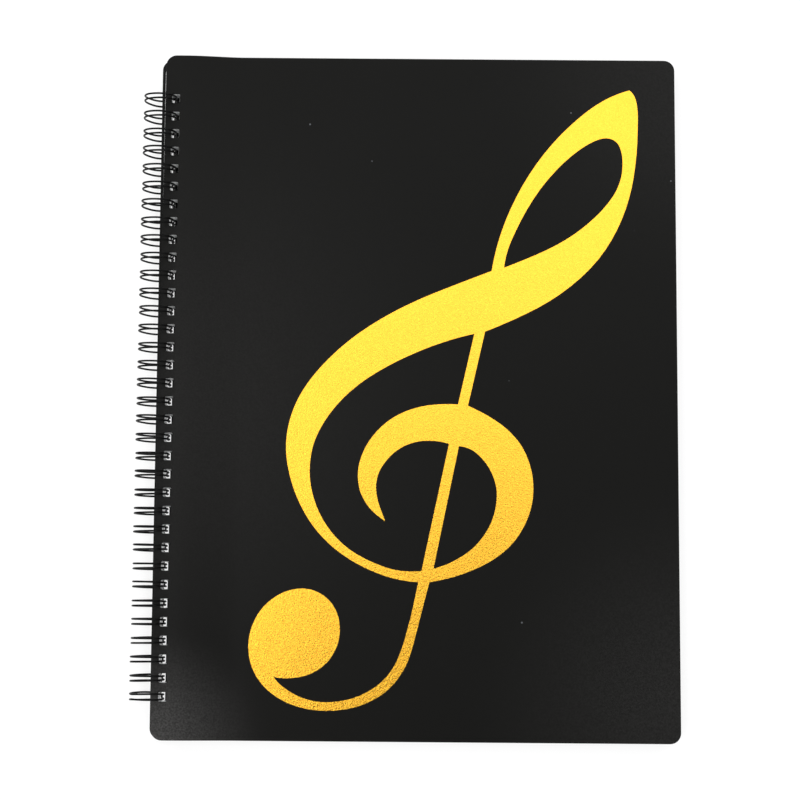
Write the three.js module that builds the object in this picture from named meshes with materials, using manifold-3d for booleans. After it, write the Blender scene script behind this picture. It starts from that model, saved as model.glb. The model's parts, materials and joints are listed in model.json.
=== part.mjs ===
// Music folder: two flexible plastic covers and a block of clear A4 pockets on a twin-loop wire, with a
// treble clef printed in gold foil on the front. It lies closed on its back cover, spine at -X.
import * as THREE from 'three';
import { mergeVertices } from 'three/addons/utils/BufferGeometryUtils.js';
import Module from 'manifold-3d';

const wasm = await Module();
wasm.setup();

// Driving dimensions, in millimetres
const coverWidth = 241;
const coverHeight = 320;
const coverThickness = 0.8;
const coverCornerRadius = 5;
const sleeveWidth = 235;
const sleeveHeight = 311;
const sleeveBlockThickness = 5.2;
const sleeveCornerRadius = 2;
const foilThickness = 0.12;

const holePitch = 25.4 / 3;
const loopCount = 34;
const holeWidth = 3.8;
const holeHeight = 4.3;
const holeCornerCut = 0.7;
const holeMargin = 4.9;
const holeRowOffset = -0.7;

const wireDiameter = 0.9;
const ringRadius = 7.5;
const loopWidthAtRoot = 2.9;
const loopWidthAtTip = 1.5;
const rootBendRadius = 0.9;
const wireSides = 5;

// Clearances and how the stack rides up to its rings
const layerGap = 0.3;
const backRise = 1.65;
const bendStart = 11;
const bendEnd = 41;
const bendSteps = 7;

// How finely curves and long channels are divided, and how far a cut runs past what it cuts
const cornerSegments = 3;
const blockLevels = 3;
const clefStrokeSegments = 4;
const cutMargin = 1;
const weldTolerance = 1e-4;

// Heights above the surface that the folder lies on
const axisHeight = ringRadius + wireDiameter / 2;
const stackRise = backRise + wireDiameter + layerGap;
const sleeveBottom = coverThickness + layerGap;
const frontBottom = sleeveBottom + sleeveBlockThickness + layerGap;
const frontTop = frontBottom + coverThickness;
const rootHeight = coverThickness + backRise + layerGap + wireDiameter / 2;

// Places where the ring circle crosses a height, measured from the ring axis
const ringX = (height) => Math.sqrt(ringRadius ** 2 - (height - axisHeight) ** 2);
const ringAngle = (height) => Math.asin((height - axisHeight) / ringRadius);
const backHoleX = ringX(coverThickness / 2 + backRise);
const frontHoleX = ringX(frontBottom + stackRise + coverThickness / 2);
const frontEdge = frontHoleX - holeMargin;
const holeY = Array.from(
  { length: loopCount }, (_, i) => ((loopCount - 1) / 2 - i) * holePitch + holeRowOffset);

// Middle of the folder's box, which is the frame's origin
const boxLeft = -ringRadius - wireDiameter / 2;
const boxRight = frontEdge + coverWidth;
const originX = (boxLeft + boxRight) / 2;

function toSolid(geometry) {
  const bare = new THREE.BufferGeometry();
  bare.setAttribute('position', geometry.getAttribute('position').clone());
  if (geometry.index) bare.setIndex(geometry.index.clone());
  const merged = mergeVertices(bare, weldTolerance);
  return new wasm.Manifold(new wasm.Mesh({
    numProp: 3,
    vertProperties: new Float32Array(merged.getAttribute('position').array),
    triVerts: new Uint32Array(merged.index.array),
  }));
}

function toGeometry(solid) {
  const mesh = solid.getMesh();
  const geometry = new THREE.BufferGeometry();
  geometry.setAttribute('position', new THREE.BufferAttribute(new Float32Array(mesh.vertProperties), 3));
  geometry.setIndex(new THREE.BufferAttribute(new Uint32Array(mesh.triVerts), 1));
  geometry.computeVertexNormals();
  return geometry;
}

// A prism along Y whose section is a list of [x, z] points, centred on one place along the spine
function prismAlongY(points, length, centreY = 0) {
  const section = new THREE.Shape(points.map(([x, z]) => new THREE.Vector2(x, z)));
  const geometry = new THREE.ExtrudeGeometry(section, { depth: length, bevelEnabled: false });
  geometry.rotateX(Math.PI / 2);
  geometry.translate(0, length / 2 + centreY, 0);
  return geometry;
}

// A flat plate along Z from a closed shape in X and Y
function plate(shape, bottom, thickness, curveSegments) {
  const geometry = new THREE.ExtrudeGeometry(shape, { depth: thickness, bevelEnabled: false, curveSegments });
  geometry.translate(0, 0, bottom);
  return geometry;
}

function roundedRectangle(left, right, bottom, top, radius) {
  const shape = new THREE.Shape();
  shape.moveTo(left + radius, bottom);
  shape.absarc(right - radius, bottom + radius, radius, -Math.PI / 2, 0, false);
  shape.absarc(right - radius, top - radius, radius, 0, Math.PI / 2, false);
  shape.absarc(left + radius, top - radius, radius, Math.PI / 2, Math.PI, false);
  shape.absarc(left + radius, bottom + radius, radius, Math.PI, Math.PI * 1.5, false);
  return shape;
}

// Every layer lies flat over most of its width and rides up to the rings in one smooth bend
function bentLine(left, right, height, rise) {
  const points = [[left, height + rise]];
  for (let i = 0; i <= bendSteps; i += 1) {
    const share = i / bendSteps;
    const lift = rise * (1 + Math.cos(Math.PI * share)) / 2;
    points.push([bendStart + (bendEnd - bendStart) * share, height + lift]);
  }
  points.push([right, height]);
  return points;
}

function holePrism(centreX, centreY, bottom, height) {
  const halfX = holeWidth / 2;
  const halfY = holeHeight / 2;
  const shape = new THREE.Shape();
  shape.moveTo(centreX + halfX, centreY - halfY + holeCornerCut);
  shape.lineTo(centreX + halfX, centreY + halfY - holeCornerCut);
  shape.lineTo(centreX + halfX - holeCornerCut, centreY + halfY);
  shape.lineTo(centreX - halfX + holeCornerCut, centreY + halfY);
  shape.lineTo(centreX - halfX, centreY + halfY - holeCornerCut);
  shape.lineTo(centreX - halfX, centreY - halfY + holeCornerCut);
  shape.lineTo(centreX - halfX + holeCornerCut, centreY - halfY);
  shape.lineTo(centreX + halfX - holeCornerCut, centreY - halfY);
  return plate(shape, bottom, height, 1);
}

// One cover: a sheet with rounded corners, bent up at the spine and punched for the loops
function cover(height, rise, holeX) {
  const left = holeX - holeMargin;
  const right = left + coverWidth;
  const lower = bentLine(left, right, height, rise);
  const upper = bentLine(left, right, height + coverThickness, rise).reverse();
  const sheet = toSolid(prismAlongY([...lower, ...upper], coverHeight + layerGap));
  const halfHeight = coverHeight / 2;
  const outline = roundedRectangle(left, right, -halfHeight, halfHeight, coverCornerRadius);
  const cutBottom = height - cutMargin;
  const cutHeight = coverThickness + rise + cutMargin * 2;
  const blank = sheet.intersect(toSolid(plate(outline, cutBottom, cutHeight, cornerSegments)));
  return holeY.reduce((sheetSoFar, y) => {
    const hole = holePrism(holeX, y, cutBottom, cutHeight);
    return sheetSoFar.subtract(toSolid(hole));
  }, blank);
}

// The pockets, closed up into one block. Its spine side, fore edge and holes follow the rings, because
// each pocket hangs on the loops at its own height
function clearSleeves() {
  const top = sleeveBottom + sleeveBlockThickness;
  const levels = Array.from(
    { length: blockLevels + 1 }, (_, i) => sleeveBottom + sleeveBlockThickness * i / blockLevels);
  const spineX = (height) => ringX(height + stackRise) - holeMargin;
  const lower = bentLine(spineX(sleeveBottom), spineX(sleeveBottom) + sleeveWidth, sleeveBottom, stackRise);
  const foreEdge = levels.slice(1, -1).map((z) => [spineX(z) + sleeveWidth, z]);
  const upper = bentLine(spineX(top), spineX(top) + sleeveWidth, top, stackRise).reverse();
  const spine = levels.slice(1, -1).reverse().map((z) => [spineX(z), z + stackRise]);
  const block = toSolid(prismAlongY([...lower, ...foreEdge, ...upper, ...spine], sleeveHeight + layerGap));
  const halfHeight = sleeveHeight / 2;
  const outline = roundedRectangle(
    spineX(sleeveBottom), spineX(top) + sleeveWidth, -halfHeight, halfHeight, sleeveCornerRadius);
  const trimmed = block.intersect(
    toSolid(plate(outline, 0, top + stackRise + cutMargin, cornerSegments)));
  const cutLevels = [sleeveBottom - cutMargin, ...levels, top + cutMargin].map((z) => z + stackRise);
  const nearSide = cutLevels.map((z) => [ringX(z) - holeWidth / 2, z]);
  const farSide = cutLevels.map((z) => [ringX(z) + holeWidth / 2, z]).reverse();
  return holeY.reduce((blockSoFar, y) => {
    const channel = prismAlongY([...nearSide, ...farSide].reverse(), holeHeight, y);
    return blockSoFar.subtract(toSolid(channel));
  }, trimmed);
}

// A path given by chosen stations, each a point with its direction, so that a swept wire keeps its
// corners where they are set
class StationPath extends THREE.Curve {
  constructor(stations) {
    super();
    this.stations = stations;
  }

  stationAt(share) {
    return this.stations[Math.round(share * (this.stations.length - 1))];
  }

  getPoint(share, target = new THREE.Vector3()) {
    return target.copy(this.stationAt(share).point);
  }

  getPointAt(share, target) {
    return this.getPoint(share, target);
  }

  getTangent(share, target = new THREE.Vector3()) {
    return target.copy(this.stationAt(share).direction);
  }

  getTangentAt(share, target) {
    return this.getTangent(share, target);
  }
}

// A station on the ring cylinder: travel is the length run round the ring from the root, clockwise seen
// from the bottom end of the spine, and the direction is given round the ring and along Y
function ringStation(travel, y, alongRing, alongY) {
  const angle = ringAngle(rootHeight) - travel / ringRadius;
  const point = new THREE.Vector3(ringRadius * Math.cos(angle), y, axisHeight + ringRadius * Math.sin(angle));
  const direction = new THREE.Vector3(
    alongRing * Math.sin(angle), alongY, -alongRing * Math.cos(angle)).normalize();
  return { point, direction };
}

// One double loop: out of the root, round the ring, back on itself at the closed tip, and home
function loopStations(centreY) {
  const legStep = Math.PI / 6;
  const legCount = 11;
  const firstLegTravel = (ringAngle(rootHeight) + Math.PI / 3) * ringRadius;
  const tipCorner = Math.PI / 6;
  const tipRadius = loopWidthAtTip / 2;
  const legStart = rootBendRadius;
  const tipGap = wireDiameter + layerGap;
  const tipTravel = 2 * Math.PI * ringRadius - tipGap + rootBendRadius / 2;
  const legEnd = tipTravel - tipRadius;
  const halfWidth = (travel) => {
    const share = (travel - legStart) / (legEnd - legStart);
    return (loopWidthAtRoot + (loopWidthAtTip - loopWidthAtRoot) * share) / 2;
  };
  const legTravels = Array.from(
    { length: legCount }, (_, i) => firstLegTravel + i * legStep * ringRadius);
  const tipEnd = legEnd + tipRadius * Math.cos(tipCorner);
  const tipSide = tipRadius * Math.sin(tipCorner);
  const outward = [
    ringStation(0, centreY + loopWidthAtRoot / 2 + rootBendRadius, 0, -1),
    ringStation(legStart, centreY + loopWidthAtRoot / 2, 1, 0),
    ...legTravels.map((travel) => ringStation(travel, centreY + halfWidth(travel), 1, 0)),
    ringStation(legEnd, centreY + tipRadius, 1, 0),
    ringStation(tipEnd, centreY + tipSide, Math.sin(tipCorner), -Math.cos(tipCorner)),
  ];
  const homeward = [
    ringStation(tipEnd, centreY - tipSide, -Math.sin(tipCorner), -Math.cos(tipCorner)),
    ringStation(legEnd, centreY - tipRadius, -1, 0),
    ...legTravels.map((travel) => ringStation(travel, centreY - halfWidth(travel), -1, 0)).reverse(),
    ringStation(legStart, centreY - loopWidthAtRoot / 2, -1, 0),
    ringStation(0, centreY - loopWidthAtRoot / 2 - rootBendRadius, 0, -1),
  ];
  return [...outward, ...homeward];
}

function bindingWire() {
  const stations = holeY.flatMap((y) => loopStations(y));
  const section = new THREE.Shape(Array.from({ length: wireSides }, (_, i) => {
    const angle = Math.PI * 2 * i / wireSides;
    return new THREE.Vector2(Math.cos(angle), Math.sin(angle)).multiplyScalar(wireDiameter / 2);
  }));
  return new THREE.ExtrudeGeometry(section, {
    steps: stations.length - 1,
    extrudePath: new StationPath(stations),
  });
}

// The treble clef, in millimetres from the middle of the front cover. Each run is one smooth stroke edge
// from corner to corner. A point is [x, y, heading], with the heading in degrees, and a run of two bare
// points is straight
const clefOutline = [
  [[30.9, 29.1, 21], [44.8, 35.1, 25], [65.9, 47, 36], [84.2, 64.1, 52], [95, 82.8, 67.5],
    [100.7, 102.8, 80.5], [102.8, 125.3, 89], [102.9, 134.7, 94], [101.9, 141.2, 108],
    [99.1, 145.3, 142]],
  [[99.1, 145.3, 195], [87.9, 140.8, 208], [71.4, 128.3, 223], [55.2, 109.6, 235], [42.9, 87.8, 246],
    [36.4, 69.5, 255], [33.9, 57.8, 260]],
  [[33.9, 57.8, 201], [17.7, 51.4, 202], [-1.1, 43.5, 205], [-23.5, 31, 214], [-36, 21.4, 222],
    [-47.9, 9.1, 231], [-56.1, -3.5, 244.5], [-60.2, -15.5, 258.5], [-61.2, -26.2, 271], [-59.2, -39.1, 285],
    [-54.4, -52, 296.5], [-46, -64.9, 311], [-34.7, -75.1, 325.5], [-20.5, -82.8, 338], [-7.6, -86.7, 350],
    [0.5, -87.6, 358]],
  [[0.5, -87.6, 257.5], [-1.9, -99.1, 257.5], [-4.2, -108.5, 254], [-7, -118.2, 249], [-10.4, -126, 238],
    [-15.4, -132.5, 224], [-21.1, -136.8, 211], [-28.8, -140.4, 198], [-37, -142.1, 186],
    [-45, -142.2, 172.5], [-52.3, -140.4, 160], [-59.6, -136.6, 146], [-65.3, -131.2, 127]],
  [[-65.3, -131.2, -10], [-57, -131.6, 6], [-50.1, -130.2, 19], [-44, -127.1, 37], [-38.8, -121.6, 57],
    [-35.8, -114.6, 77], [-35.6, -106, 98.5], [-38.9, -97.9, 127], [-45, -92.8, 153.5], [-52.3, -90.9, 179],
    [-59.9, -92.2, 199.5], [-67.1, -96.2, 219], [-73.1, -103.1, 239.5], [-76.3, -110.8, 256],
    [-77, -117.8, 271.5], [-75.7, -125.6, 289], [-72, -132.7, 306.5], [-66, -138.7, 323.5],
    [-58.8, -142.8, 337], [-52, -145, 346.5], [-43.9, -146.2, 357], [-35.3, -145.9, 366],
    [-26.6, -144.1, 378], [-18.1, -140.3, 391],
    [-10.4, -133.9, 409], [-5, -125.7, 424], [-1.4, -115.2, 436], [1.1, -105.2, 436], [5.6, -87.6, 435]],
  [[5.6, -87.6, 10], [16.3, -85.2, 16], [26.6, -81.4, 25], [36, -76.3, 35.5], [44.1, -69.1, 49.5],
    [49.7, -60.3, 65], [52.7, -51.2, 78.5], [53.3, -42.1, 92.5], [51.7, -33, 107], [47.6, -24, 123],
    [40.7, -16.3, 139], [32.8, -10.8, 149.5], [23, -5.8, 154]],
  [[23, -5.8], [30.9, 29.1]],
];
const clefTopCounter = [
  [[39.7, 59.4, 85], [40.8, 65.5, 77], [45.1, 76.8, 65.5], [56.5, 96.8, 54.5], [66, 108.1, 46],
    [74.7, 115.8, 37], [81.9, 120.3, 25], [88, 122, -1], [92.8, 120.1, -44], [95.1, 115.2, -76],
    [95.6, 109.6, -91], [95, 103.6, -102], [92.9, 97.4, -114], [87.9, 89.7, -128], [80.1, 81.6, -138],
    [68.9, 73.1, -147.5], [50, 63.6, -157], [39.7, 59.4, -159]],
];
const clefBodyCounter = [
  [[25.9, 28, -167], [14.5, 24.9, -162], [2.9, 20.7, -157.5], [-14.7, 12.3, -150.5], [-28.1, 3.5, -141.5],
    [-41.2, -10.1, -125.5], [-47.9, -22.5, -110.5], [-50.1, -34.8, -92.5], [-48.9, -46.3, -76],
    [-44, -58.7, -60], [-34.6, -70.2, -41.5], [-20.9, -78.5, -23], [-7.6, -82.5, -6], [1.9, -82.5, 6]],
  [[1.9, -82.5], [14.3, -23.7]],
  [[14.3, -23.7, 163], [5, -22.3, 181], [-1.7, -23.1, 195.5], [-8.1, -25.8, 211.5], [-14, -30.9, 230],
    [-17.9, -36.8, 247.5], [-19.3, -42.8, 266], [-18.8, -48.8, 281], [-15, -59.7, 290]],
  [[-15, -59.7, 148], [-20.5, -55.5, 137], [-24.3, -50.8, 121.5], [-26.9, -45.1, 106], [-27.7, -36.9, 87],
    [-25.7, -28.4, 69], [-20.6, -19.8, 51.5], [-13.6, -13, 36], [-3.8, -7.9, 19.5], [6.3, -5.6, 6],
    [18.4, -5.3, -4]],
  [[18.4, -5.3], [25.9, 28]],
];
const clefRightCounter = [
  [[18.9, -24.7, -3], [24, -26, -24], [29.4, -30.2, -46], [33.9, -36.7, -64], [36.2, -43.5, -80],
    [36.1, -52.2, -98], [34.3, -59, -110.5], [31.1, -65.2, -123.5], [25.7, -71.7, -137],
    [19.6, -76.2, -148.5], [13.1, -79.5, -158], [7.4, -81.4, -165]],
  [[7.4, -81.4], [18.9, -24.7]],
];

// Goes on to the next point of a run. The two handles are as long as those of the circular arc that turns
// as far, so that even spacing isn't needed
function strokeSpan(path, [fromX, fromY, fromHeading], [toX, toY, toHeading]) {
  if (fromHeading === undefined) {
    path.lineTo(toX, toY);
    return;
  }
  const [leaving, arriving] = [fromHeading, toHeading].map(THREE.MathUtils.degToRad);
  const chord = Math.hypot(toX - fromX, toY - fromY);
  const handle = chord / (3 * Math.cos((arriving - leaving) / 4) ** 2);
  path.bezierCurveTo(
    fromX + handle * Math.cos(leaving), fromY + handle * Math.sin(leaving),
    toX - handle * Math.cos(arriving), toY - handle * Math.sin(arriving), toX, toY);
}

function strokePath(runs, PathType) {
  const path = new PathType();
  const [startX, startY] = runs[0][0];
  path.moveTo(startX, startY);
  runs.forEach((run) => {
    run.slice(1).forEach((next, i) => strokeSpan(path, run[i], next));
  });
  return path;
}

function clefFoil() {
  const shape = strokePath(clefOutline, THREE.Shape);
  const counters = [clefTopCounter, clefBodyCounter, clefRightCounter];
  shape.holes = counters.map((runs) => strokePath(runs, THREE.Path));
  const geometry = plate(shape, frontTop, foilThickness, clefStrokeSegments);
  geometry.translate(frontEdge + coverWidth / 2, 0, 0);
  return geometry;
}

const blackPlastic = new THREE.MeshStandardMaterial({ color: 0x20201e, roughness: 0.55, metalness: 0 });
const clearFilm = new THREE.MeshStandardMaterial({ color: 0xdfe3e6, roughness: 0.25, metalness: 0 });
const blackWire = new THREE.MeshStandardMaterial({ color: 0x121212, roughness: 0.35, metalness: 0.4 });
const goldFoil = new THREE.MeshStandardMaterial({ color: 0xf2cf3f, roughness: 0.35, metalness: 0.9 });

const group = new THREE.Group();

function addPart(name, geometry, material) {
  const mesh = new THREE.Mesh(geometry, material);
  mesh.name = name;
  group.add(mesh);
}

addPart('back_cover', toGeometry(cover(0, backRise, backHoleX)), blackPlastic);
addPart('clear_sleeves', toGeometry(clearSleeves()), clearFilm);
addPart('front_cover', toGeometry(cover(frontBottom, stackRise, frontHoleX)), blackPlastic);
addPart('clef_foil', clefFoil(), goldFoil);
addPart('binding_wire', bindingWire(), blackWire);
group.position.x = -originX;

export default group;
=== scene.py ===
"""Looks of a music folder: satin plastic covers, clear pockets, a twin-loop wire and a gold foil clef.

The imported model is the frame. Every length here is in metres, and the folder lies on its back cover with
its spine at -X.
"""

from __future__ import annotations

import json
import logging
import math
import random
from dataclasses import dataclass
from enum import Enum

import bmesh
import bpy
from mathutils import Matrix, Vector
from mathutils.geometry import delaunay_2d_cdt

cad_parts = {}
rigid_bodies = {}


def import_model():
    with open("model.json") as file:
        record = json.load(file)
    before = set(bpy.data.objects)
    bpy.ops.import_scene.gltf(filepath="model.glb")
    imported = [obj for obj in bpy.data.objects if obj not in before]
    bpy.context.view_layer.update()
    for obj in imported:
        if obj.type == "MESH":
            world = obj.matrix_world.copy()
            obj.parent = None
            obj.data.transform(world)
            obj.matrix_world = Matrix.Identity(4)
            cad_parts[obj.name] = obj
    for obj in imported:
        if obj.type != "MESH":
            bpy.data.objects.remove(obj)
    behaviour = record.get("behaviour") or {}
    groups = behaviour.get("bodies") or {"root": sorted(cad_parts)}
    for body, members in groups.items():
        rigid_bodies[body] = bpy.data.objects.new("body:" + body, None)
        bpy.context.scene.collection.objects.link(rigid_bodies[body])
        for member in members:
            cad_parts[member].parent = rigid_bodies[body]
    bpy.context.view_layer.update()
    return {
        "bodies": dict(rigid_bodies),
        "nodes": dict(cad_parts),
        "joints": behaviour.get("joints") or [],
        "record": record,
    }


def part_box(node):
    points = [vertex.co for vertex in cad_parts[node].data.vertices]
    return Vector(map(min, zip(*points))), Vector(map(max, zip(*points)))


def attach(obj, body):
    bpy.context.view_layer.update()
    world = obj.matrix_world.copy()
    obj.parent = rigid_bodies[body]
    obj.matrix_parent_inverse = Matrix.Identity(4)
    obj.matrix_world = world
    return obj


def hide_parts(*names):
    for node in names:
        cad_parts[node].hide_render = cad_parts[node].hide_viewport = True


LOG = logging.getLogger("music_folder")
MM = 0.001

# Three of these run from the ring axis towards the fore edge: AXIS_TO_COVER, BEND_NEAR and BEND_FAR.
LOOP_COUNT = 34
HOLE_PITCH = 25.4 / 3 * MM
HOLE_ROW_OFFSET = -0.7 * MM
HOLE_MARGIN = 4.9 * MM
COVER_WIDTH = 241 * MM
COVER_THICKNESS = 0.8 * MM
AXIS_TO_COVER = 2.3554 * MM
BEND_NEAR = 11 * MM
BEND_FAR = 41 * MM
RING_RADIUS = 7.5 * MM
ROOT_DEPTH = 4.75 * MM
WIRE_DIAMETER = 0.9 * MM
HANG_FROM_HEAD = 30 * MM
HANG_FADE = 90 * MM

# The values that most of the fine grain and most of the wide clouds fall between.
GRAIN_RANGE = (0.35, 0.65)
CLOUD_RANGE = (0.3, 0.7)

Point2 = tuple[float, float]
Color = tuple[float, float, float, float]


class Side(Enum):
    """Which cover of the folder a sheet is, by the name of its node."""

    FRONT = "front_cover"
    BACK = "back_cover"


@dataclass(frozen=True)
class Layout:
    """Places that the pieces share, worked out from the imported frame."""

    axis_x: float
    axis_z: float
    ring_radius: float
    bend_start: float
    bend_end: float

    @classmethod
    def from_frame(cls) -> Layout:
        """Finds the ring axis and the layers' bend from the front cover's fore edge.

        Returns:
            The layout that every class below builds from.
        """
        axis_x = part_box(Side.FRONT.value)[1].x - COVER_WIDTH - AXIS_TO_COVER
        LOG.info("ring axis at x %.4f", axis_x)
        return cls(
            axis_x=axis_x,
            axis_z=RING_RADIUS + WIRE_DIAMETER / 2,
            ring_radius=RING_RADIUS,
            bend_start=axis_x + BEND_NEAR,
            bend_end=axis_x + BEND_FAR,
        )

    def ring_x(self, height: float) -> float:
        """Gives x where the ring circle crosses a height."""
        return self.axis_x + math.sqrt(self.ring_radius**2 - (height - self.axis_z) ** 2)

    def lift(self, x: float, rise: float) -> float:
        """Gives how far a layer rides up towards the rings at x."""
        share = min(max((x - self.bend_start) / (self.bend_end - self.bend_start), 0.0), 1.0)
        return rise * (1 + math.cos(math.pi * share)) / 2

    def hole_rows(self) -> list[float]:
        """Lists the y of every punched hole, from the head of the spine down."""
        return [((LOOP_COUNT - 1) / 2 - i) * HOLE_PITCH + HOLE_ROW_OFFSET for i in range(LOOP_COUNT)]


def hang(piece: bpy.types.Object, play: float) -> None:
    """Lets a layer's foot hang towards the fore edge, by the play that its holes have on the rings.

    Args:
        piece: The layer, whose mesh is shifted more and more down from its head.
        play: How far the foot hangs off its place.
    """
    head = max(vert.co.y for vert in piece.data.vertices)
    for vert in piece.data.vertices:
        share = min(max((head - vert.co.y - HANG_FROM_HEAD) / HANG_FADE, 0.0), 1.0)
        vert.co.x += play * share * share * (3 - 2 * share)


def link(name: str, data: bpy.types.ID) -> bpy.types.Object:
    """Puts new data into the scene as an object at the origin.

    Args:
        name: The object's name.
        data: A mesh or a curve.

    Returns:
        The linked object.
    """
    piece = bpy.data.objects.new(name, data)
    bpy.context.scene.collection.objects.link(piece)
    return piece


def baked(piece: bpy.types.Object, name: str) -> bpy.types.Object:
    """Turns a piece with live modifiers into a plain mesh of its own.

    Args:
        piece: The object whose modifiers are done.
        name: The finished object's name.

    Returns:
        The new object, with the old one removed.
    """
    graph = bpy.context.evaluated_depsgraph_get()
    mesh = bpy.data.meshes.new_from_object(
        piece.evaluated_get(graph), preserve_all_data_layers=True, depsgraph=graph
    )
    bpy.data.objects.remove(piece)
    mesh.name = name
    return link(name, mesh)


class NodeTree:
    """A short way to add nodes to a tree and join their sockets."""

    def __init__(self, tree: bpy.types.NodeTree) -> None:
        """Keeps the tree that the nodes go into."""
        self.tree = tree

    def add(
        self, kind: str, inputs: dict[str | int, object] | None = None, **settings: object
    ) -> bpy.types.Node:
        """Adds a node.

        Args:
            kind: The node's type name in Blender.
            inputs: A value or an output socket for each input, by name or index.
            settings: Properties of the node itself.

        Returns:
            The new node.
        """
        node = self.tree.nodes.new(kind)
        for key, value in settings.items():
            setattr(node, key, value)
        for key, value in (inputs or {}).items():
            if isinstance(value, bpy.types.NodeSocket):
                self.tree.links.new(value, node.inputs[key])
            else:
                node.inputs[key].default_value = value
        return node

    def math(self, operation: str, first: object, second: object = 0.0) -> bpy.types.NodeSocket:
        """Adds a math node of either kind of tree and gives its result."""
        node = self.add("ShaderNodeMath", {0: first, 1: second}, operation=operation)
        return node.outputs[0]

    def place(self) -> bpy.types.NodeSocket:
        """Gives the point on the surface in the object's own frame."""
        return self.add("ShaderNodeTexCoord").outputs["Object"]

    def span(self, value: object, source: Point2, target: Point2, **settings: object) -> bpy.types.NodeSocket:
        """Maps one range of values onto another.

        Args:
            value: The value or socket to map.
            source: The range's two ends before.
            target: The range's two ends after.
            settings: Properties of the map's node.

        Returns:
            The mapped value's socket.
        """
        ends = {"From Min": source[0], "From Max": source[1], "To Min": target[0], "To Max": target[1]}
        return self.add("ShaderNodeMapRange", {"Value": value, **ends}, **settings).outputs["Result"]

    def blend(self, mask: object, first: object, second: object) -> bpy.types.NodeSocket:
        """Mixes two colours by a mask and gives the mixed colour."""
        return self.add("ShaderNodeMix", {0: mask, 6: first, 7: second}, data_type="RGBA").outputs[2]

    def join(self, source: bpy.types.NodeSocket, target: bpy.types.NodeSocket) -> None:
        """Links an output to an input."""
        self.tree.links.new(source, target)


def make_group(
    name: str, inputs: dict[str, float], outputs: dict[str, str]
) -> tuple[NodeTree, bpy.types.Node, bpy.types.Node]:
    """Starts a shader node group with named sockets.

    Args:
        name: The group's name.
        inputs: Each input's name and default number.
        outputs: Each output's name and socket type.

    Returns:
        The group's tree, its input node and its output node.
    """
    tree = bpy.data.node_groups.new(name, "ShaderNodeTree")
    for label, value in inputs.items():
        socket = tree.interface.new_socket(label, in_out="INPUT", socket_type="NodeSocketFloat")
        socket.default_value = value
    for label, kind in outputs.items():
        tree.interface.new_socket(label, in_out="OUTPUT", socket_type=kind)
    nodes = NodeTree(tree)
    return nodes, nodes.add("NodeGroupInput"), nodes.add("NodeGroupOutput")


def grain_group() -> bpy.types.NodeTree:
    """Builds the fine grain that moulded film, coating and foil share.

    Returns:
        A group that gives a height, a fleck mask and wide clouds over the surface.
    """
    nodes, given, result = make_group(
        "fine_grain",
        {"Scale": 1500.0, "Fleck Scale": 500.0, "Fleck Amount": 0.3},
        {"Height": "NodeSocketFloat", "Flecks": "NodeSocketFloat", "Clouds": "NodeSocketFloat"},
    )
    place = nodes.place()
    sizes = given.outputs
    fine = nodes.add("ShaderNodeTexNoise", {"Vector": place, "Scale": sizes["Scale"], "Detail": 3.0})
    flecks = nodes.add("ShaderNodeTexNoise", {"Vector": place, "Scale": sizes["Fleck Scale"], "Detail": 1.0})
    least = nodes.math("SUBTRACT", 1.0, nodes.math("MULTIPLY", sizes["Fleck Amount"], 0.5))
    sharp = nodes.span(flecks.outputs["Fac"], (least, 1.0), (0.0, 1.0))
    clouds = nodes.add(
        "ShaderNodeTexNoise", {"Vector": place, "Scale": 9.0, "Detail": 2.0, "Roughness": 0.55}
    )
    nodes.join(fine.outputs["Fac"], result.inputs["Height"])
    nodes.join(sharp, result.inputs["Flecks"])
    nodes.join(clouds.outputs["Fac"], result.inputs["Clouds"])
    return nodes.tree


def dust_group() -> bpy.types.NodeTree:
    """Builds the few pale specks of dust that lie on black plastic.

    Returns:
        A group that gives a mask of scattered specks.
    """
    nodes, given, result = make_group("dust_specks", {"Density": 0.04}, {"Mask": "NodeSocketFloat"})
    cells = nodes.add("ShaderNodeTexVoronoi", {"Vector": nodes.place(), "Scale": 170.0, "Randomness": 1.0})
    near = nodes.math("LESS_THAN", cells.outputs["Distance"], 0.075)
    tint = nodes.add("ShaderNodeSeparateColor", {0: cells.outputs["Color"]})
    chosen = nodes.math("LESS_THAN", tint.outputs[0], given.outputs["Density"])
    nodes.join(nodes.math("MULTIPLY", near, chosen), result.inputs["Mask"])
    return nodes.tree


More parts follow.
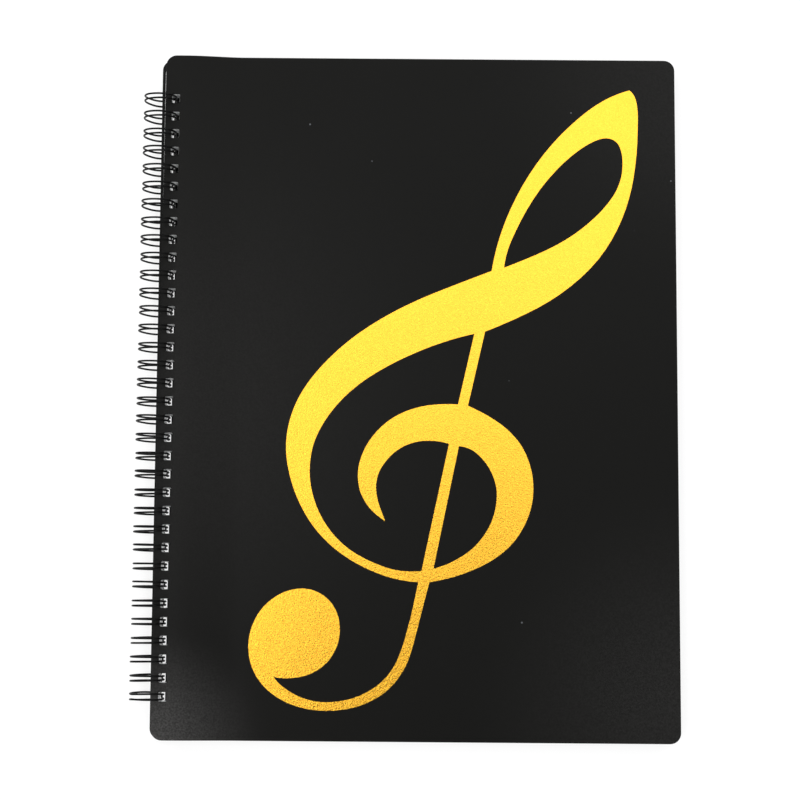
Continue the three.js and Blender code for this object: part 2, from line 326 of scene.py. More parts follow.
@dataclass(frozen=True)
class Finish:
    """The plain values of one finish. Each subclass adds its own pattern."""

    name: str
    color: Color
    roughness: float
    metallic: float = 0.0
    specular: float = 0.5

    def start(self) -> tuple[bpy.types.Material, NodeTree, bpy.types.Node]:
        """Makes the material with its Principled shader.

        Returns:
            The material, its tree and its shader node.
        """
        material = bpy.data.materials.new(self.name)
        material.use_nodes = True
        nodes = NodeTree(material.node_tree)
        shader = material.node_tree.nodes["Principled BSDF"]
        shader.inputs["Base Color"].default_value = self.color
        shader.inputs["Roughness"].default_value = self.roughness
        shader.inputs["Metallic"].default_value = self.metallic
        shader.inputs["Specular IOR Level"].default_value = self.specular
        return material, nodes, shader

    def grain(
        self, nodes: NodeTree, tree: bpy.types.NodeTree, scale: float, fleck_scale: float, amount: float
    ) -> bpy.types.Node:
        """Places the shared grain group with this finish's own values.

        Args:
            nodes: The material's tree.
            tree: The shared grain group.
            scale: The grain's fineness.
            fleck_scale: The flecks' fineness.
            amount: How much of the surface the flecks take.

        Returns:
            The group's node.
        """
        values = {"Scale": scale, "Fleck Scale": fleck_scale, "Fleck Amount": amount}
        return nodes.add("ShaderNodeGroup", values, node_tree=tree)

    def bump(
        self, nodes: NodeTree, shader: bpy.types.Node, grain: bpy.types.Node, strength: float, depth: float
    ) -> None:
        """Gives the shader a bump from the grain's height.

        Args:
            nodes: The material's tree.
            shader: The material's shader.
            grain: The grain group's node.
            strength: How much the bump shows.
            depth: Its depth in metres.
        """
        node = nodes.add(
            "ShaderNodeBump", {"Strength": strength, "Distance": depth, "Height": grain.outputs["Height"]}
        )
        nodes.join(node.outputs["Normal"], shader.inputs["Normal"])

    def cloudy(
        self, nodes: NodeTree, grain: bpy.types.Node, middle: float, below: float, above: float
    ) -> bpy.types.NodeSocket:
        """Lets a value wander with the grain's clouds.

        Args:
            nodes: The material's tree.
            grain: The grain group's node.
            middle: The plain value.
            below: How far it falls under it.
            above: How far it rises over it.

        Returns:
            The value's socket.
        """
        ends = (middle - below, middle + above)
        return nodes.span(grain.outputs["Clouds"], CLOUD_RANGE, ends)


@dataclass(frozen=True)
class SheenPatch:
    """A place where a pale sheen is painted into the plastic, standing in for the lights' reflection."""

    centre: tuple[float, float, float]
    reach: float
    strength: float


@dataclass(frozen=True)
class CoverPlastic(Finish):
    """Black polypropylene sheet with a fine matt grain, and a pale sheen painted near its corners and along
    its spine edge.
    """

    # Painted sheen: pale patches near the corners and the spine edge stand in for the soft boxes' reflection
    # on the plastic.
    sheen_patches: tuple[SheenPatch, ...] = (
        SheenPatch((-0.118, -0.162, 0.008), 0.058, 0.6),
        SheenPatch((-0.125, 0.0, 0.008), 0.17, 0.1),
        SheenPatch((0.14, -0.15, 0.008), 0.12, 0.16),
        SheenPatch((0.14, 0.15, 0.008), 0.11, 0.1),
    )
    fleck_color: Color = (0.02, 0.02, 0.021, 1)
    dust_color: Color = (0.07, 0.075, 0.08, 1)
    painted_sheen_color: Color = (0.06, 0.059, 0.058, 1)
    dust_density: float = 0.05

    def haze_and_painted_sheen(self, nodes: NodeTree, grain: bpy.types.Node) -> bpy.types.NodeSocket:
        """Adds the mask of the painted sheen, which is pale round every sheen patch.

        Args:
            nodes: The material's tree.
            grain: The grain that breaks the painted sheen up.

        Returns:
            The mask's socket.
        """
        place = nodes.place()
        total: bpy.types.NodeSocket | float = 0.0
        for sheen_patch in self.sheen_patches:
            away = nodes.add("ShaderNodeVectorMath", {0: place, 1: sheen_patch.centre}, operation="DISTANCE")
            ends = (sheen_patch.strength, 0.0)
            faded = nodes.span(away.outputs["Value"], (0.0, sheen_patch.reach), ends, interpolation_type="SMOOTHSTEP")
            total = nodes.math("ADD", total, faded)
        broken = nodes.span(grain.outputs["Height"], GRAIN_RANGE, (0.5, 1.2))
        return nodes.math("MULTIPLY", total, broken)

    def build(self, grain_tree: bpy.types.NodeTree, dust_tree: bpy.types.NodeTree) -> bpy.types.Material:
        """Builds the sheet's material: grain bump, cloudy gloss and a few specks of dust.

        Args:
            grain_tree: The shared grain group.
            dust_tree: The shared dust group.

        Returns:
            The finished material.
        """
        material, nodes, shader = self.start()
        grain = self.grain(nodes, grain_tree, 1300.0, 420.0, 0.42)
        dust = nodes.add("ShaderNodeGroup", {"Density": self.dust_density}, node_tree=dust_tree)
        flecked = nodes.blend(grain.outputs["Flecks"], self.color, self.fleck_color)
        dusted = nodes.blend(dust.outputs["Mask"], flecked, self.dust_color)
        # Painted sheen: the base colour turns pale round each sheen patch, in place of a reflection of the
        # lights.
        with_painted_sheen = nodes.blend(self.haze_and_painted_sheen(nodes, grain), dusted, self.painted_sheen_color)
        nodes.join(with_painted_sheen, shader.inputs["Base Color"])
        nodes.join(self.cloudy(nodes, grain, self.roughness, 0.04, 0.05), shader.inputs["Roughness"])
        self.bump(nodes, shader, grain, 0.35, 0.06 * MM)
        return material


@dataclass(frozen=True)
class GoldFoil(Finish):
    """Stamped metallic foil whose fine glitter grain catches the light."""

    shade: Color = (0.94, 0.49, 0.044, 1)
    glitter: float = 0.12

    def build(self, grain_tree: bpy.types.NodeTree) -> bpy.types.Material:
        """Builds the foil: glitter flecks in colour and gloss over a fine bump.

        Args:
            grain_tree: The shared grain group.

        Returns:
            The finished material.
        """
        material, nodes, shader = self.start()
        grain = self.grain(nodes, grain_tree, 1900.0, 1150.0, 1.0)
        ends = (self.roughness - self.glitter, self.roughness + self.glitter)
        gloss = nodes.span(grain.outputs["Height"], GRAIN_RANGE, ends)
        nodes.join(nodes.blend(grain.outputs["Flecks"], self.shade, self.color), shader.inputs["Base Color"])
        nodes.join(gloss, shader.inputs["Roughness"])
        self.bump(nodes, shader, grain, 0.65, 0.14 * MM)
        return material


@dataclass(frozen=True)
class WireCoating(Finish):
    """Black nylon coating on steel wire, smooth with a slight ripple."""

    def build(self, grain_tree: bpy.types.NodeTree) -> bpy.types.Material:
        """Builds the coating with its ripple and rubbed gloss.

        Args:
            grain_tree: The shared grain group.

        Returns:
            The finished material.
        """
        material, nodes, shader = self.start()
        grain = self.grain(nodes, grain_tree, 900.0, 600.0, 0.3)
        nodes.join(self.cloudy(nodes, grain, self.roughness, 0.05, 0.1), shader.inputs["Roughness"])
        self.bump(nodes, shader, grain, 0.15, 0.04 * MM)
        return material


@dataclass(frozen=True)
class ClearFilm(Finish):
    """Clear polypropylene film with an orange-peel surface, and a milky white strip near the spine painted in
    as a highlight, so that the film's edge and the holes read bright.
    """

    alpha: float = 0.13
    highlight_strip_color: Color = (0.98, 0.985, 0.99, 1)
    highlight_strip_alpha: float = 0.74
    strip_start: float = -106 * MM
    strip_end: float = -100 * MM

    def build(self, grain_tree: bpy.types.NodeTree) -> bpy.types.Material:
        """Builds the film: mostly see-through, with a cloudy haze.

        Args:
            grain_tree: The shared grain group.

        Returns:
            The finished material.
        """
        material, nodes, shader = self.start()
        grain = self.grain(nodes, grain_tree, 1600.0, 300.0, 0.4)
        haze_and_painted_sheen = self.cloudy(nodes, grain, self.alpha, 0.02, 0.03)
        across = nodes.add("ShaderNodeSeparateXYZ", {0: nodes.place()})
        # Painted highlight: a milky white strip near the spine stands in for the bright film edge and the
        # light seen through the holes.
        milky_highlight_strip = nodes.span(across.outputs["X"], (self.strip_start, self.strip_end), (1.0, 0.0))
        whole = nodes.math("ADD", haze_and_painted_sheen, nodes.math("MULTIPLY", milky_highlight_strip, self.highlight_strip_alpha))
        nodes.join(whole, shader.inputs["Alpha"])
        nodes.join(nodes.blend(milky_highlight_strip, self.color, self.highlight_strip_color), shader.inputs["Base Color"])
        self.bump(nodes, shader, grain, 0.2, 0.05 * MM)
        return material


@dataclass(frozen=True)
class StudioFloor(Finish):
    """White acrylic table lit from below, which leaves next to no shadow."""

    glow: float = 0.79

    def build(self, grain_tree: bpy.types.NodeTree) -> bpy.types.Material:
        """Builds the floor's material, with a faint grain.

        Args:
            grain_tree: The shared grain group.

        Returns:
            The finished material.
        """
        material, nodes, shader = self.start()
        shader.inputs["Emission Color"].default_value = (1, 1, 1, 1)
        shader.inputs["Emission Strength"].default_value = self.glow
        grain = self.grain(nodes, grain_tree, 400.0, 200.0, 0.1)
        self.bump(nodes, shader, grain, 0.05, 0.05 * MM)
        return material


@dataclass(frozen=True)
class Palette:
    """Every finished material of the folder."""

    plastic: bpy.types.Material
    foil: bpy.types.Material
    wire: bpy.types.Material
    film: bpy.types.Material
    floor: bpy.types.Material

    @classmethod
    def mix(cls) -> Palette:
        """Builds the shared groups once and every material from them.

        Returns:
            The folder's materials.
        """
        grain_tree = grain_group()
        dust_tree = dust_group()
        plastic = CoverPlastic("cover_plastic", (0.003, 0.003, 0.0026, 1), 0.44, specular=0.08)
        foil = GoldFoil("gold_foil", (1.0, 0.6, 0.06, 1), 0.23, metallic=1.0)
        wire = WireCoating("wire_coating", (0.001, 0.001, 0.001, 1), 0.34, specular=0.1)
        film = ClearFilm("clear_film", (0.42, 0.44, 0.46, 1), 0.2)
        floor = StudioFloor("studio_floor", (0.2, 0.2, 0.2, 1), 0.9, specular=0.1)
        return cls(
            plastic=plastic.build(grain_tree, dust_tree),
            foil=foil.build(grain_tree),
            wire=wire.build(grain_tree),
            film=film.build(grain_tree),
            floor=floor.build(grain_tree),
        )


def rounded_outline(low: Point2, high: Point2, radius: float, steps: int) -> list[Point2]:
    """Lists the points of a rectangle with round corners, anticlockwise.

    Args:
        low: The lower left corner.
        high: The upper right corner.
        radius: The corners' radius.
        steps: How many chords each corner has.

    Returns:
        The outline's points.
    """
    corners = [
        (high[0] - radius, low[1] + radius, -0.5),
        (high[0] - radius, high[1] - radius, 0.0),
        (low[0] + radius, high[1] - radius, 0.5),
        (low[0] + radius, low[1] + radius, 1.0),
    ]
    points = []
    for centre_x, centre_y, start in corners:
        for i in range(steps + 1):
            angle = math.pi * (start + 0.5 * i / steps)
            points.append((centre_x + radius * math.cos(angle), centre_y + radius * math.sin(angle)))
    return points


@dataclass
class PunchedSheet:
    """A flat sheet with round corners, a row of square holes, and lines where it will bend."""

    low: Point2
    high: Point2
    corner_radius: float
    hole_x: float
    hole_rows: list[float]
    bend_lines: list[float]
    hole_width: float = 3.8 * MM
    hole_height: float = 4.3 * MM
    hole_corner: float = 0.6 * MM
    hole_steps: int = 3
    corner_steps: int = 8
    weld_distance: float = 1e-7

    def in_hole(self, x: float, y: float) -> bool:
        """Tells whether a point lies in one of the punched holes."""
        if abs(x - self.hole_x) > self.hole_width / 2:
            return False
        return any(abs(y - row) < self.hole_height / 2 for row in self.hole_rows)

    def mesh(self, name: str) -> bpy.types.Mesh:
        """Triangulates the sheet inside its outline and outside its holes.

        Args:
            name: The mesh's name.

        Returns:
            A flat mesh at height 0.
        """
        loops = [rounded_outline(self.low, self.high, self.corner_radius, self.corner_steps)]
        half_width, half_height = self.hole_width / 2, self.hole_height / 2
        for row in self.hole_rows:
            low = (self.hole_x - half_width, row - half_height)
            high = (self.hole_x + half_width, row + half_height)
            loops.append(rounded_outline(low, high, self.hole_corner, self.hole_steps))
        points: list[Vector] = []
        edges: list[tuple[int, int]] = []
        for loop in loops:
            first = len(points)
            points += [Vector(point) for point in loop]
            edges += [(first + i, first + (i + 1) % len(loop)) for i in range(len(loop))]
        for x in self.bend_lines:
            first = len(points)
            points += [Vector((x, self.low[1])), Vector((x, self.high[1]))]
            edges.append((first, first + 1))
        corners, _, faces, *_ = delaunay_2d_cdt(points, edges, [], 1, self.weld_distance)
        sheet = bmesh.new()
        made = [sheet.verts.new((corner.x, corner.y, 0)) for corner in corners]
        for face in faces:
            centre = sum((corners[i] for i in face), Vector((0, 0))) / len(face)
            if not self.in_hole(centre.x, centre.y):
                sheet.faces.new([made[i] for i in face])
        bmesh.ops.delete(sheet, geom=[vert for vert in sheet.verts if not vert.link_faces], context="VERTS")
        bmesh.ops.recalc_face_normals(sheet, faces=sheet.faces)
        if sum(face.normal.z for face in sheet.faces) < 0:
            bmesh.ops.reverse_faces(sheet, faces=sheet.faces)
        mesh = bpy.data.meshes.new(name)
        sheet.to_mesh(mesh)
        sheet.free()
        return mesh


@dataclass
class Cover:
    """One plastic cover: a punched sheet that rides up to the rings in a soft bend."""

    layout: Layout
    side: Side
    corner_radius: float = 5 * MM
    edge_radius: float = 0.14 * MM
    edge_angle: float = math.radians(50)
    play: float = 0.0
    bend_steps: int = 14

    def build(self, material: bpy.types.Material) -> bpy.types.Object:
        """Builds the cover and puts it on its body in place of its node.

        Args:
            material: The cover's finish.

        Returns:
            The finished cover.
        """
        low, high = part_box(self.side.value)
        rise = high.z - low.z - COVER_THICKNESS
        layout = self.layout
        sheet = PunchedSheet(
            low=(low.x, low.y),
            high=(high.x, high.y),
            corner_radius=self.corner_radius,
            hole_x=low.x + HOLE_MARGIN,
            hole_rows=layout.hole_rows(),
            bend_lines=[
                layout.bend_start + (layout.bend_end - layout.bend_start) * i / self.bend_steps
                for i in range(self.bend_steps + 1)
            ],
        )
        piece = link(f"{self.side.value}_draft", sheet.mesh("cover_sheet"))
        middle = low.z + COVER_THICKNESS / 2
        for vert in piece.data.vertices:
            vert.co.z = middle + layout.lift(vert.co.x, rise)
        wall = piece.modifiers.new("wall", "SOLIDIFY")
        wall.thickness = COVER_THICKNESS
        wall.offset = 0
        rim = piece.modifiers.new("rim", "BEVEL")
        rim.width = self.edge_radius
        rim.segments = 2
        rim.limit_method = "ANGLE"
        rim.angle_limit = self.edge_angle
        piece.data.shade_smooth()
        piece.modifiers.new("even_shading", "WEIGHTED_NORMAL")
        finished = baked(piece, f"{self.side.value}_sheet")
        hang(finished, self.play)
        finished.data.materials.clear()
        finished.data.materials.append(material)
        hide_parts(self.side.value)
        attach(finished, "front" if self.side is Side.FRONT else "back")
        return finished


@dataclass
class WireBinding:
    """The twin-loop wire: one coated wire bent into double loops, each a little different."""

    layout: Layout
    width_at_root: float = 2.9 * MM
    width_at_tip: float = 1.5 * MM
    root_bend: float = 0.9 * MM
    root_angle: float = math.asin(-ROOT_DEPTH / RING_RADIUS)
    tip_gap: float = 0.75 * MM
    shoulder: float = 0.9 * MM
    last_askew: float = 0.8 * MM
    sides: int = 10
    seed: int = 11
    root_steps: int = 4
    leg_steps: int = 40
    tip_steps: int = 4

    def on_ring(self, travel: float, y: float, squeeze: float) -> Vector:
        """Wraps a point of the unrolled wire round the ring.

        Args:
            travel: Length run round the ring from the root.
            y: Place along the spine.
            squeeze: How far this loop stands inside the true ring at its left side.

        Returns:
            The point in the folder's frame.
        """
        layout = self.layout
        angle = self.root_angle - travel / layout.ring_radius
        outside = max(-math.cos(angle), 0.0)
        radius = layout.ring_radius - squeeze * outside
        radius += self.shoulder * outside * math.cos(2 * angle - 1.5 * math.pi)
        x = layout.axis_x + radius * math.cos(angle)
        return Vector((x, y, layout.axis_z + radius * math.sin(angle)))

    def loop_points(
        self, centre: float, lean: float, spread: float, squeeze: float, askew: float
    ) -> list[Vector]:
        """Lists the points of one double loop, from its root round to its tip and home.

        Args:
            centre: The loop's place along the spine.
            lean: How far the loop leans along the spine, halfway round.
            spread: What is added to the loop's width halfway round.
            squeeze: How far it stands inside the true ring.
            askew: How much wider its lower half is, and narrower its upper half.

        Returns:
            The points, in order along the wire.
        """
        full = math.tau * self.layout.ring_radius - self.tip_gap
        tip_radius = self.width_at_tip / 2
        leg_end = full - tip_radius

        def half_width(travel: float) -> float:
            """Gives half of the leg's spacing at a length round the ring."""
            share = (travel - self.root_bend) / (leg_end - self.root_bend)
            return (self.width_at_root + (self.width_at_tip - self.width_at_root) * share) / 2

        def sway(travel: float) -> Point2:
            """Gives the loop's shift and its added width at a length round the ring."""
            turn = min(max(travel / full, 0), 1)
            arch = math.sin(math.pi * turn) ** 2
            return lean * arch, spread * arch + askew * math.sin(math.tau * turn)

        flat: list[Point2] = []
        for i in range(self.root_steps + 1):
            angle = math.pi / 2 * i / self.root_steps
            out = self.width_at_root / 2 + self.root_bend * (1 - math.sin(angle))
            flat.append((self.root_bend * (1 - math.cos(angle)), out))
        for i in range(1, self.leg_steps):
            travel = self.root_bend + (leg_end - self.root_bend) * i / self.leg_steps
            flat.append((travel, half_width(travel)))
        for i in range(self.tip_steps):
            angle = math.pi / 2 * i / self.tip_steps
            flat.append((leg_end + tip_radius * math.sin(angle), tip_radius * math.cos(angle)))
        mirrored = [(travel, -y) for travel, y in reversed(flat)]
        tip = [(leg_end + tip_radius, 0.0)]
        points = []
        for travel, y in flat + tip + mirrored:
            shift, wider = sway(travel)
            widened = y + math.copysign(wider / 2, y) if y else y
            points.append(self.on_ring(travel, centre + widened + shift, squeeze))
        return points

    def path(self) -> bpy.types.Curve:
        """Strings every loop onto one polyline, in order down the spine.

        Returns:
            A curve of one open spline.
        """
        chance = random.Random(self.seed)
        points: list[Vector] = []
        rows = self.layout.hole_rows()
        for row in rows:
            lean = chance.uniform(-0.22, 0.22) * MM
            spread = chance.uniform(-0.1, 0.25) * MM
            squeeze = chance.uniform(0.15, 0.4) * MM
            askew = self.last_askew if row == rows[-1] else 0.0
            points += self.loop_points(row, lean, spread, squeeze, askew)
        curve = bpy.data.curves.new("wire_path", "CURVE")
        curve.dimensions = "3D"
        spline = curve.splines.new("POLY")
        spline.points.add(len(points) - 1)
        for knot, point in zip(spline.points, points):
            knot.co = (*point, 1)
        return curve

    def tree(self, material: bpy.types.Material) -> tuple[bpy.types.NodeTree, dict[str, str]]:
        """Builds the tree that sweeps the coated wire along its path.

        Args:
            material: The coating.

        Returns:
            The tree, and each input's identifier by name.
        """
        group = bpy.data.node_groups.new("sweep_wire", "GeometryNodeTree")
        face = group.interface
        face.new_socket("Geometry", in_out="INPUT", socket_type="NodeSocketGeometry")
        radius = face.new_socket("Wire Radius", in_out="INPUT", socket_type="NodeSocketFloat")
        sides = face.new_socket("Sides", in_out="INPUT", socket_type="NodeSocketInt")
        face.new_socket("Geometry", in_out="OUTPUT", socket_type="NodeSocketGeometry")
        nodes = NodeTree(group)
        given = nodes.add("NodeGroupInput")
        section = nodes.add(
            "GeometryNodeCurvePrimitiveCircle",
            {"Resolution": given.outputs["Sides"], "Radius": given.outputs["Wire Radius"]},
        )
        swept = nodes.add(
            "GeometryNodeCurveToMesh",
            {"Curve": given.outputs["Geometry"], "Profile Curve": section.outputs[0], "Fill Caps": True},
        )
        smooth = nodes.add("GeometryNodeSetShadeSmooth", {"Geometry": swept.outputs["Mesh"]})
        real = nodes.add("GeometryNodeRealizeInstances", {"Geometry": smooth.outputs["Geometry"]})
        dressed = nodes.add("GeometryNodeSetMaterial", {"Geometry": real.outputs[0], "Material": material})
        nodes.add("NodeGroupOutput", {"Geometry": dressed.outputs["Geometry"]})
        return group, {"radius": radius.identifier, "sides": sides.identifier}

    def build(self, material: bpy.types.Material) -> bpy.types.Object:
        """Builds the wire and puts it on its body in place of its node.

        Args:
            material: The coating.

        Returns:
            The finished wire.
        """
        piece = link("wire_draft", self.path())
        group, names = self.tree(material)
        sweep = piece.modifiers.new("sweep", "NODES")
        sweep.node_group = group
        sweep[names["radius"]] = WIRE_DIAMETER / 2
        sweep[names["sides"]] = self.sides
        finished = baked(piece, "coated_wire")
        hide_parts("binding_wire")
        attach(finished, "rings")
        return finished


@dataclass
class ClearPockets:
    """The welded pockets, stacked as thin punched leaves that hang on the rings at their own heights."""

    layout: Layout
    leaf_count: int = 20
    film_thickness: float = 0.14 * MM
    corner_radius: float = 2 * MM
    weld_inset: float = 13 * MM
    edge_inset: float = 1.6 * MM
    mouth_inset: float = 4 * MM
    notch_radius: float = 11 * MM
    notch_steps: int = 12
    notch_gap: float = 1 * MM
    bead_width: float = 0.9 * MM
    bead_height: float = 0.07 * MM
    slip: float = 0.18 * MM
    play: float = 0.4 * MM
    seed: int = 4
    bend_steps: int = 8

    def add_bead(self, mesh: bmesh.types.BMesh, path: list[Point2]) -> None:
        """Adds one weld or folded film edge as a low closed bar along a path.

        Args:
            mesh: The leaf that takes the bead.
            path: The bead's points in X and Y.
        """
        bottom = self.film_thickness / 2
        top = bottom + self.bead_height
        rings = []
        for i, point in enumerate(path):
            before = Vector(path[max(i - 1, 0)])
            after = Vector(path[min(i + 1, len(path) - 1)])
            along = (after - before).normalized()
            across = Vector((-along.y, along.x)) * self.bead_width / 2
            here = Vector(point)
            ring = [(here - across, bottom), (here + across, bottom)]
            ring += [(here + across * 0.5, top), (here - across * 0.5, top)]
            rings.append([mesh.verts.new((place.x, place.y, height)) for place, height in ring])
        for start, end in zip(rings, rings[1:]):
            for i in range(4):
                j = (i + 1) % 4
                mesh.faces.new((start[i], start[j], end[j], end[i]))
        mesh.faces.new(rings[0])
        mesh.faces.new(list(reversed(rings[-1])))

    def leaf(self, width: float, height: float) -> bpy.types.Mesh:
        """Makes one pocket, flat, with its hole centres at x 0.

        Args:
            width: The pocket's size across the folder.
            height: Its size along the spine.

        Returns:
            A closed mesh of the film with its welds.
        """
        left, right, half = -HOLE_MARGIN, width - HOLE_MARGIN, height / 2
        bend = (self.layout.bend_end - self.layout.bend_start) / self.bend_steps
        first = self.layout.bend_start - self.layout.axis_x - self.layout.ring_radius
        lines = [first + bend * i for i in range(-1, self.bend_steps + 2)]
        sheet = PunchedSheet(
            low=(left, -half),
            high=(right, half),
            corner_radius=self.corner_radius,
            hole_x=0.0,
            hole_rows=self.layout.hole_rows(),
            bend_lines=lines,
            corner_steps=4,
        )
        draft = link("leaf_draft", sheet.mesh("leaf_sheet"))
        wall = draft.modifiers.new("wall", "SOLIDIFY")
        wall.thickness = self.film_thickness
        wall.offset = 0
        film = baked(draft, "leaf_film")
        mesh = bmesh.new()
        mesh.from_mesh(film.data)
        bpy.data.objects.remove(film)
        spine_x, fore_x = left + self.weld_inset, right - self.edge_inset
        foot, mouth = -half + self.edge_inset, half - self.mouth_inset
        across = [spine_x, *[x for x in lines if x > spine_x + bend / 2], fore_x]
        self.add_bead(mesh, [(spine_x, foot - self.edge_inset / 2), (spine_x, mouth)])
        self.add_bead(mesh, [(fore_x, foot - self.edge_inset / 2), (fore_x, mouth)])
        self.add_bead(mesh, [(x, foot) for x in across])
        middle = (spine_x + fore_x) / 2
        turns = [math.pi * (1 + i / self.notch_steps) for i in range(self.notch_steps + 1)]
        reach = self.notch_radius
        notch = [(middle + reach * math.cos(turn), mouth + reach * math.sin(turn)) for turn in turns]
        before = [(x, mouth) for x in across if x < middle - reach - self.notch_gap]
        after = [(x, mouth) for x in across if x > middle + reach + self.notch_gap]
        self.add_bead(mesh, before + notch + after)
        bmesh.ops.recalc_face_normals(mesh, faces=mesh.faces)
        leaf = bpy.data.meshes.new("leaf")
        mesh.to_mesh(leaf)
        mesh.free()
        return leaf

    def tree(self, material: bpy.types.Material) -> tuple[bpy.types.NodeTree, dict[str, str]]:
        """Builds the tree that stacks the leaves on the rings and bends them all together.

        Args:
            material: The film.

        Returns:
            The tree, and each input's identifier by name.
        """
        group = bpy.data.node_groups.new("stack_leaves", "GeometryNodeTree")
        face = group.interface
        face.new_socket("Geometry", in_out="INPUT", socket_type="NodeSocketGeometry")
        sizes = ("Pitch", "First Height", "Ring Radius", "Axis X", "Axis Height", "Rise", "Bend Start",
                 "Bend End", "Slip")
        kinds = {"Count": "NodeSocketInt", **dict.fromkeys(sizes, "NodeSocketFloat")}
        names = {
            label: face.new_socket(label, in_out="INPUT", socket_type=kind).identifier
            for label, kind in kinds.items()
        }
        face.new_socket("Geometry", in_out="OUTPUT", socket_type="NodeSocketGeometry")
        nodes = NodeTree(group)
        given = nodes.add("NodeGroupInput").outputs
        start = nodes.add("ShaderNodeCombineXYZ", {"Z": given["First Height"]})
        step = nodes.add("ShaderNodeCombineXYZ", {"Z": given["Pitch"]})
        levels = nodes.add(
            "GeometryNodeMeshLine",
            {"Count": given["Count"], "Start Location": start.outputs[0], "Offset": step.outputs[0]},
        )
        level = nodes.add("ShaderNodeSeparateXYZ", {0: nodes.add("GeometryNodeInputPosition").outputs[0]})
        raised = nodes.math("ADD", level.outputs["Z"], given["Rise"])
        above = nodes.math("ABSOLUTE", nodes.math("SUBTRACT", raised, given["Axis Height"]))
        ring_squared = nodes.math("POWER", given["Ring Radius"], 2.0)
        squared = nodes.math("SUBTRACT", ring_squared, nodes.math("POWER", above, 2.0))
        reach = nodes.math("ADD", nodes.math("SQRT", squared), given["Axis X"])
        hung = nodes.add("ShaderNodeCombineXYZ", {"X": reach, "Z": level.outputs["Z"]})
        hung_line = nodes.add(
            "GeometryNodeSetPosition", {"Geometry": levels.outputs["Mesh"], "Position": hung.outputs[0]}
        )
        most = nodes.add("ShaderNodeCombineXYZ", {"X": given["Slip"], "Y": given["Slip"]})
        least = nodes.add("ShaderNodeVectorMath", {0: most.outputs[0], "Scale": -1.0}, operation="SCALE")
        slip = nodes.add(
            "FunctionNodeRandomValue",
            {0: least.outputs[0], 1: most.outputs[0], "Seed": self.seed},
            data_type="FLOAT_VECTOR",
        )
        placed = nodes.add(
            "GeometryNodeSetPosition", {"Geometry": hung_line.outputs[0], "Offset": slip.outputs[0]}
        )
        leaves = nodes.add(
            "GeometryNodeInstanceOnPoints", {"Points": placed.outputs[0], "Instance": given["Geometry"]}
        )
        real = nodes.add("GeometryNodeRealizeInstances", {"Geometry": leaves.outputs["Instances"]})
        here = nodes.add("ShaderNodeSeparateXYZ", {0: nodes.add("GeometryNodeInputPosition").outputs[0]})
        turn = nodes.span(here.outputs["X"], (given["Bend Start"], given["Bend End"]), (0.0, math.pi))
        wave = nodes.math("MULTIPLY", nodes.math("ADD", nodes.math("COSINE", turn), 1.0), 0.5)
        lift = nodes.add("ShaderNodeCombineXYZ", {"Z": nodes.math("MULTIPLY", wave, given["Rise"])})
        bent = nodes.add("GeometryNodeSetPosition", {"Geometry": real.outputs[0], "Offset": lift.outputs[0]})
        dressed = nodes.add("GeometryNodeSetMaterial", {"Geometry": bent.outputs[0], "Material": material})
        nodes.add("NodeGroupOutput", {"Geometry": dressed.outputs["Geometry"]})
        return group, names

    def build(self, material: bpy.types.Material) -> bpy.types.Object:
        """Builds the stack of pockets and puts it on its body in place of its node.

        Args:
            material: The film.

        Returns:
            The finished stack.
        """
        low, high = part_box("clear_sleeves")
        front_low, front_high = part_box(Side.FRONT.value)
        rise = front_high.z - front_low.z - COVER_THICKNESS
        block = high.z - low.z - rise
        pitch = block / self.leaf_count
        layout = self.layout
        width = high.x - low.x - (layout.ring_x(high.z) - layout.ring_x(low.z + rise))
        draft = link("pockets_draft", self.leaf(width, high.y - low.y))
        group, names = self.tree(material)
        stack = draft.modifiers.new("stack", "NODES")
        stack.node_group = group
        values = {
            "Count": self.leaf_count, "Pitch": pitch, "First Height": low.z + self.film_thickness / 2,
            "Ring Radius": layout.ring_radius, "Axis X": layout.axis_x, "Axis Height": layout.axis_z,
            "Rise": rise, "Bend Start": layout.bend_start, "Bend End": layout.bend_end, "Slip": self.slip,
        }
        for label, value in values.items():
            stack[names[label]] = value
        finished = baked(draft, "clear_pockets")
        hang(finished, self.play)
        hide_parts("clear_sleeves")
        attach(finished, "pages")
        return finished


@dataclass
class Clef:
    """The stamped treble clef, whose solid keeps its own crisp outline."""

    frame: dict[str, dict[str, bpy.types.Object]]

    def dress(self, material: bpy.types.Material) -> bpy.types.Object:
        """Gives the clef's node its foil.

        Args:
            material: The foil.

        Returns:
            The node's object.
        """
        foil = self.frame["nodes"]["clef_foil"]
        foil.data.materials.clear()
        foil.data.materials.append(material)
        return foil


@dataclass(frozen=True)
class SoftBox:
    """One soft box: its place, the point that it faces, its size and how bright its face is."""

    name: str
    place: tuple[float, float, float]
    aim: tuple[float, float, float]
    size: Point2
    radiance: float

    def build(self) -> None:
        """Hangs the soft box, where a radiance of 1 is the white of the picture."""
        data = bpy.data.lights.new(self.name, "AREA")
        data.shape = "RECTANGLE"
        data.size, data.size_y = self.size
        data.energy = self.radiance * math.pi * self.size[0] * self.size[1]
        lamp = link(self.name, data)
        lamp.location = self.place
        lamp.rotation_euler = (Vector(self.aim) - Vector(self.place)).to_track_quat("-Z", "Y").to_euler()


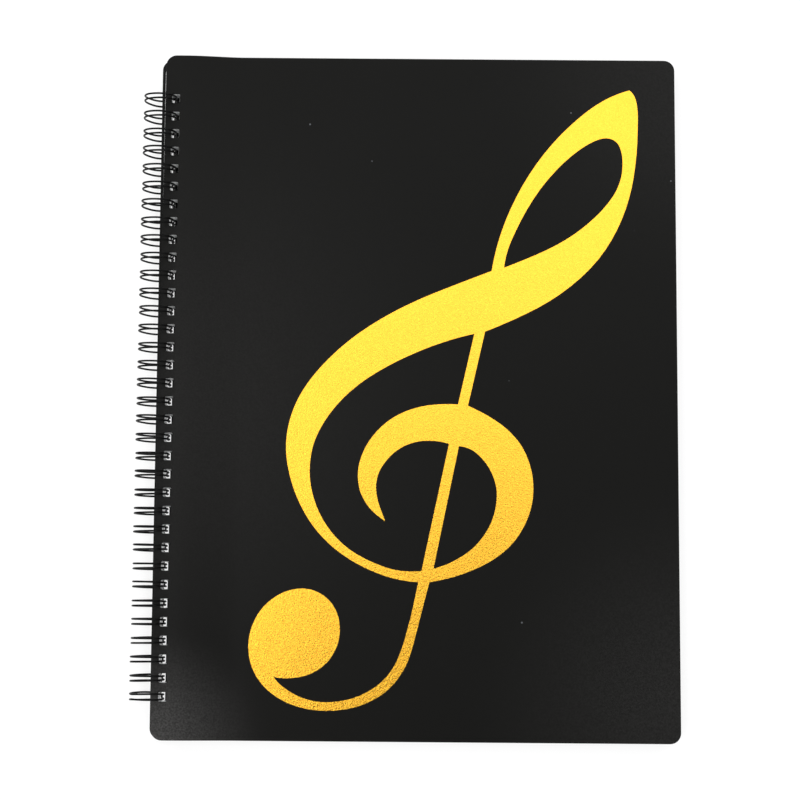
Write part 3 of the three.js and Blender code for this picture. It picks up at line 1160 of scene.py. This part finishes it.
@dataclass
class Studio:
    """A pale floor, soft light from above and the photograph's camera."""

    boxes: tuple[SoftBox, ...] = (
        SoftBox("head_softbox", (0, 0.84, 1.5), (0, 0.84, 0), (2.0, 1.4), 1.72),
        SoftBox("left_softbox", (-0.66, -0.045, 1.5), (-0.66, -0.045, 0), (1.0, 0.36), 2.6),
        SoftBox("right_softbox", (0.56, 0.04, 1.5), (0.56, 0.04, 0), (0.8, 0.34), 1.7),
        SoftBox("corner_softbox", (-0.62, -0.5, 1.3), (-0.1, -0.1, 0), (0.35, 0.3), 11.0),
    )
    side_count: int = 4
    side_reach: float = 1.45
    side_height: float = 1.0
    side_size: Point2 = (1.1, 0.5)
    side_radiance: float = 6.0
    surround: float = 0.18

    camera_height: float = 843.6 * MM
    camera_y: float = -103.7 * MM
    camera_x_from_cover: float = -7.2 * MM
    tilt_degrees: tuple[float, float, float] = (6.84, 0.04, 0.452)
    focal_pixels: float = 1812.0
    picture_pixels: float = 800.0
    sensor_mm: float = 36.0
    floor_half: float = 3.0

    def build_floor(self, material: bpy.types.Material) -> None:
        """Lays the floor level with the folder's underside.

        Args:
            material: The floor's finish.
        """
        mesh = bmesh.new()
        bmesh.ops.create_grid(mesh, x_segments=4, y_segments=4, size=self.floor_half)
        data = bpy.data.meshes.new("studio_floor")
        mesh.to_mesh(data)
        mesh.free()
        data.materials.append(material)
        link("studio_floor", data)

    def build_light(self) -> None:
        """Sets the soft boxes and the even surround."""
        world = bpy.data.worlds.new("studio")
        world.use_nodes = True
        background = world.node_tree.nodes["Background"]
        background.inputs["Color"].default_value = (1, 1, 1, 1)
        background.inputs["Strength"].default_value = self.surround
        bpy.context.scene.world = world
        for box in self.boxes:
            box.build()
        for i in range(self.side_count):
            turn = math.pi / 4 + math.tau / self.side_count * i
            place = (self.side_reach * math.cos(turn), self.side_reach * math.sin(turn), self.side_height)
            SoftBox(f"side_softbox_{i}", place, (0, 0, 0), self.side_size, self.side_radiance).build()
        view = bpy.context.scene.view_settings
        view.view_transform = "Standard"
        view.look = "None"

    def build_camera(self, cover_centre_x: float) -> None:
        """Sets the camera where the photograph was taken from.

        Args:
            cover_centre_x: The middle of the front cover, across.
        """
        data = bpy.data.cameras.new("photo_camera")
        data.sensor_width = self.sensor_mm
        data.lens = self.focal_pixels / self.picture_pixels * self.sensor_mm
        camera = link("photo_camera", data)
        camera.location = (cover_centre_x + self.camera_x_from_cover, self.camera_y, self.camera_height)
        camera.rotation_euler = [math.radians(angle) for angle in self.tilt_degrees]
        bpy.context.scene.camera = camera

    def build(self, material: bpy.types.Material) -> None:
        """Builds the whole studio round the folder.

        Args:
            material: The floor's finish.
        """
        low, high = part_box(Side.FRONT.value)
        self.build_floor(material)
        self.build_light()
        self.build_camera((low.x + high.x) / 2)


def main() -> None:
    """Builds every piece in order."""
    logging.basicConfig(level=logging.INFO, format="%(name)s: %(message)s")
    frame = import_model()
    layout = Layout.from_frame()
    palette = Palette.mix()
    made = [
        Cover(layout, Side.BACK, play=1.1 * MM).build(palette.plastic),
        ClearPockets(layout).build(palette.film),
        Cover(layout, Side.FRONT).build(palette.plastic),
        Clef(frame).dress(palette.foil),
        WireBinding(layout).build(palette.wire),
    ]
    for piece in made:
        LOG.info("%s has %d faces", piece.name, len(piece.data.polygons))
    Studio().build(palette.floor)


if __name__ == "__main__":
    main()
